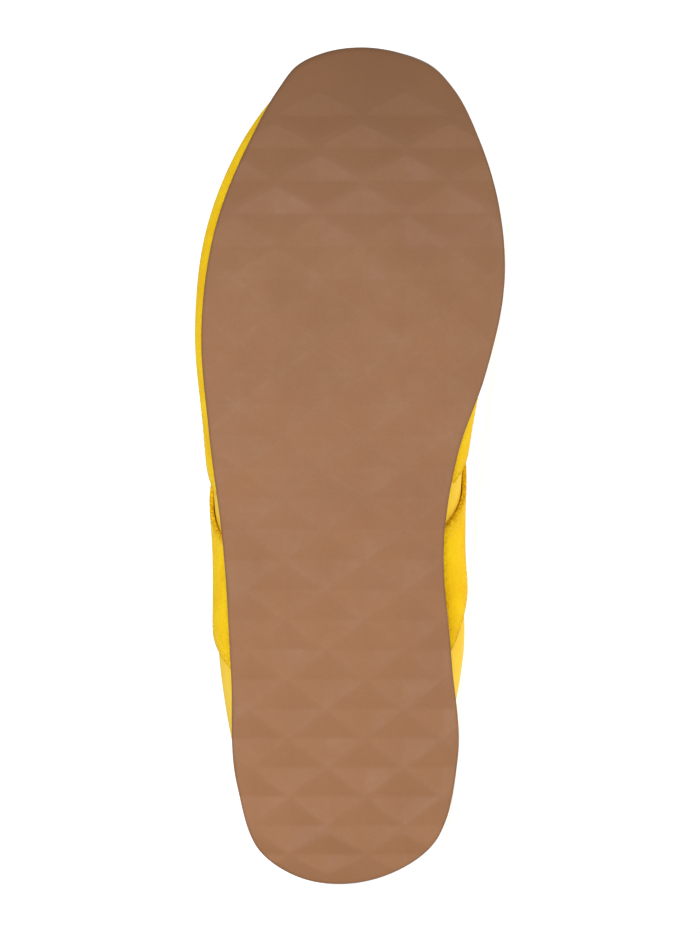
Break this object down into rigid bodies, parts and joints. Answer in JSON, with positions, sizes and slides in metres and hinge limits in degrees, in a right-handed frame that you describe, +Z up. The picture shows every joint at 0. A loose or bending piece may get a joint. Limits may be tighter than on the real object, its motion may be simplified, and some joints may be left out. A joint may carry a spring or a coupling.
{
  "type": "sneaker",
  "caption": "Low lace-up sneaker lying on its inner side: one-piece gum rubber sole with a diamond tread, hollow yellow upper with suede toe rand and saddle pieces.",
  "frame": {"origin": "bottom centre of the bounding box, on the table the shoe lies on", "axes": "+X from the heel to the toe, +Z up from the table, the tread faces -Y"},
  "size_m": [0.2618, 0.1022, 0.0961],
  "materials": {
    "gum": "matte",
    "shell": "matte",
    "suede": "napped",
    "lining": "matte",
    "lace": "woven"
  },
  "bodies": {
    "root": {"outsole": "gum", "upper": "shell", "insole": "lining", "toe_rand": "suede", "saddle_outer": "suede", "saddle_inner": "suede", "tongue": "shell", "lace_bar": "lace", "lace_crossing_1": "lace", "lace_crossing_2": "lace", "lace_crossing_3": "lace", "lace_crossing_4": "lace", "lace_crossing_5": "lace"}
  },
  "joints": []
}
